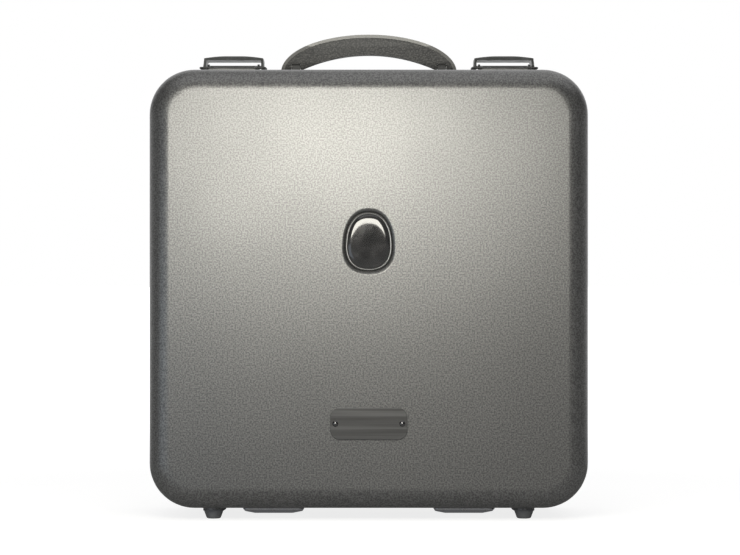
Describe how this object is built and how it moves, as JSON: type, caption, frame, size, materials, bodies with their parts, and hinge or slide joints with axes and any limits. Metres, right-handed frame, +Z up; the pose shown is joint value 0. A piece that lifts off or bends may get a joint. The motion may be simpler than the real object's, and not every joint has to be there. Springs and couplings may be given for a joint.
{
  "type": "headphone case",
  "caption": "Hard moulded upright carrying case for headphones: hinged lid, lever latches, folding handle, feet, cut foam inside.",
  "frame": {"origin": "on the floor under the middle of the case's bounding box", "axes": "+X along the case's width, +Y from the lid's face to the back, +Z up through the handle"},
  "size_m": [0.375, 0.1526, 0.4154],
  "materials": {
    "shell": "satin",
    "rim": "satin",
    "foam": "matte",
    "foot_rubber": "matte",
    "nickel": "polished",
    "steel": "satin",
    "dark_steel": "satin",
    "rivet": "polished",
    "latch_lever": "satin",
    "grip": "matte",
    "emblem_band": "polished",
    "emblem_gloss": "gloss",
    "name_plate": "satin"
  },
  "bodies": {
    "base": {"base_shell": "shell", "base_rim": "rim", "base_foam": "foam", "base_foot_left": "foot_rubber", "base_foot_right": "foot_rubber", "base_foot_rivets": "rivet", "hinge_left_base_leaf": "nickel", "hinge_right_base_leaf": "nickel", "hinge_left_pin": "steel", "hinge_right_pin": "steel", "hinge_base_rivets": "rivet", "latch_left_base_plate": "dark_steel", "latch_right_base_plate": "dark_steel", "latch_left_lever_pin": "steel", "latch_right_lever_pin": "steel", "latch_base_rivets": "rivet", "handle_bracket_left": "dark_steel", "handle_bracket_right": "dark_steel", "handle_pin_left": "steel", "handle_pin_right": "steel", "handle_rivets": "rivet"},
    "lid": {"lid_shell": "shell", "lid_rim": "rim", "lid_foam": "foam", "lid_foot_left": "foot_rubber", "lid_foot_right": "foot_rubber", "lid_foot_rivets": "rivet", "hinge_left_lid_leaf": "nickel", "hinge_right_lid_leaf": "nickel", "hinge_lid_rivets": "rivet", "latch_left_catch": "dark_steel", "latch_right_catch": "dark_steel", "latch_catch_rivets": "rivet", "emblem_rim": "emblem_band", "emblem_dome": "emblem_gloss", "name_plate": "name_plate", "name_plate_pins": "rivet"},
    "handle": {"handle_grip": "grip"},
    "left_lever": {"latch_left_lever": "latch_lever"},
    "left_loop": {"latch_left_wire_loop": "rivet"},
    "right_lever": {"latch_right_lever": "latch_lever"},
    "right_loop": {"latch_right_wire_loop": "rivet"}
  },
  "joints": [
    {"name": "lid_hinge", "type": "hinge", "parent": "base", "child": "lid", "pos_m": [0, -0.0157, 0.0051], "axis": [1, 0, 0], "range_deg": [0, 130]},
    {"name": "handle_fold", "type": "hinge", "parent": "base", "child": "handle", "pos_m": [0, 0.0103, 0.3883], "axis": [1, 0, 0], "range_deg": [-70, 70]},
    {"name": "left_lever_lift", "type": "hinge", "parent": "base", "child": "left_lever", "pos_m": [-0.117, -0.0037, 0.3867], "axis": [1, 0, 0], "range_deg": [0, 95]},
    {"name": "left_loop_swing", "type": "hinge", "parent": "left_lever", "child": "left_loop", "pos_m": [-0.117, 0.0043, 0.386], "axis": [1, 0, 0], "range_deg": [-114, 0]},
    {"name": "right_lever_lift", "type": "hinge", "parent": "base", "child": "right_lever", "pos_m": [0.117, -0.0037, 0.3867], "axis": [1, 0, 0], "range_deg": [0, 95]},
    {"name": "right_loop_swing", "type": "hinge", "parent": "right_lever", "child": "right_loop", "pos_m": [0.117, 0.0043, 0.386], "axis": [1, 0, 0], "range_deg": [-114, 0]}
  ],
  "couplings": [
    {"joint": "left_loop_swing", "follows": "left_lever_lift", "ratio": -1.2},
    {"joint": "right_loop_swing", "follows": "right_lever_lift", "ratio": -1.2}
  ]
}
